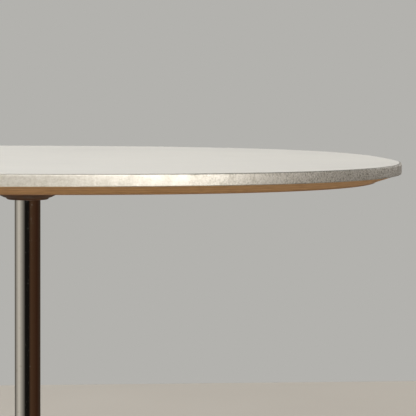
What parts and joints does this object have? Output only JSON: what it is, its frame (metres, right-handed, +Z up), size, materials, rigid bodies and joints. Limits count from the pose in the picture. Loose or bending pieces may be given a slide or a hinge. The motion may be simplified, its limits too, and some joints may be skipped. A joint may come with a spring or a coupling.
{
  "type": "bistro table",
  "caption": "Pedestal table: supercircular laminate top with a metal edge band, on a chromed column and a four-arm foot with levelling glides.",
  "frame": {"origin": "on the floor under the column's axis, at the bottom centre of the object's box", "axes": "+Z up along the column; X and Y across the top's flat sides, -Y towards the front"},
  "size_m": [0.9, 0.9, 0.72],
  "materials": {
    "laminate_white": "satin off-white high-pressure laminate",
    "laminate_brown": "plain brown balancing laminate, matte",
    "board_wood": "lacquered birch plywood, bevelled edge",
    "band_aluminium": "extruded aluminium, worn and pitted",
    "flange_enamel": "dark brown-black satin enamel on a casting",
    "column_chrome": "polished chrome plate with light wear",
    "steel_zinc": "zinc-plated steel fasteners",
    "foot_aluminium": "polished cast aluminium",
    "sleeve_brass": "turned brass",
    "pad_nylon": "black moulded nylon"
  },
  "bodies": {
    "frame": {"top_laminate": "laminate_white", "backing_laminate": "laminate_brown", "core_board": "board_wood", "edge_band": "band_aluminium", "mounting_flange": "flange_enamel", "flange_screws": "steel_zinc", "column_tube": "column_chrome", "tie_rod": "steel_zinc", "top_washer": "steel_zinc", "top_nut": "steel_zinc", "base_hub": "foot_aluminium", "base_plate": "steel_zinc", "arm_screws": "steel_zinc", "bottom_washer": "steel_zinc", "bottom_nut": "steel_zinc", "foot_inserts": "sleeve_brass", "base_arm_1": "foot_aluminium", "base_arm_2": "foot_aluminium", "base_arm_3": "foot_aluminium", "base_arm_4": "foot_aluminium"},
    "pad_1": {"glide_pad_1": "pad_nylon"},
    "stem_1": {"glide_stem_1": "steel_zinc"},
    "pad_2": {"glide_pad_2": "pad_nylon"},
    "stem_2": {"glide_stem_2": "steel_zinc"},
    "pad_3": {"glide_pad_3": "pad_nylon"},
    "stem_3": {"glide_stem_3": "steel_zinc"},
    "pad_4": {"glide_pad_4": "pad_nylon"},
    "stem_4": {"glide_stem_4": "steel_zinc"}
  },
  "joints": [
    {"name": "glide_1_travel", "type": "slide", "parent": "frame", "child": "pad_1", "axis": [0, 0, -1], "range_m": [0, 0.008]},
    {"name": "glide_1_turn", "type": "hinge", "parent": "pad_1", "child": "stem_1", "pos_m": [0.23334, 0.23334, 0.014], "axis": [0, 0, -1], "range_deg": [0, 2304]},
    {"name": "glide_2_travel", "type": "slide", "parent": "frame", "child": "pad_2", "axis": [0, 0, -1], "range_m": [0, 0.008]},
    {"name": "glide_2_turn", "type": "hinge", "parent": "pad_2", "child": "stem_2", "pos_m": [-0.23334, 0.23334, 0.014], "axis": [0, 0, -1], "range_deg": [0, 2304]},
    {"name": "glide_3_travel", "type": "slide", "parent": "frame", "child": "pad_3", "axis": [0, 0, -1], "range_m": [0, 0.008]},
    {"name": "glide_3_turn", "type": "hinge", "parent": "pad_3", "child": "stem_3", "pos_m": [-0.23334, -0.23334, 0.014], "axis": [0, 0, -1], "range_deg": [0, 2304]},
    {"name": "glide_4_travel", "type": "slide", "parent": "frame", "child": "pad_4", "axis": [0, 0, -1], "range_m": [0, 0.008]},
    {"name": "glide_4_turn", "type": "hinge", "parent": "pad_4", "child": "stem_4", "pos_m": [0.23334, -0.23334, 0.014], "axis": [0, 0, -1], "range_deg": [0, 2304]}
  ],
  "couplings": [
    {"joint": "glide_1_travel", "follows": "glide_1_turn", "m_per_rad": 0.00019894},
    {"joint": "glide_2_travel", "follows": "glide_2_turn", "m_per_rad": 0.00019894},
    {"joint": "glide_3_travel", "follows": "glide_3_turn", "m_per_rad": 0.00019894},
    {"joint": "glide_4_travel", "follows": "glide_4_turn", "m_per_rad": 0.00019894}
  ]
}
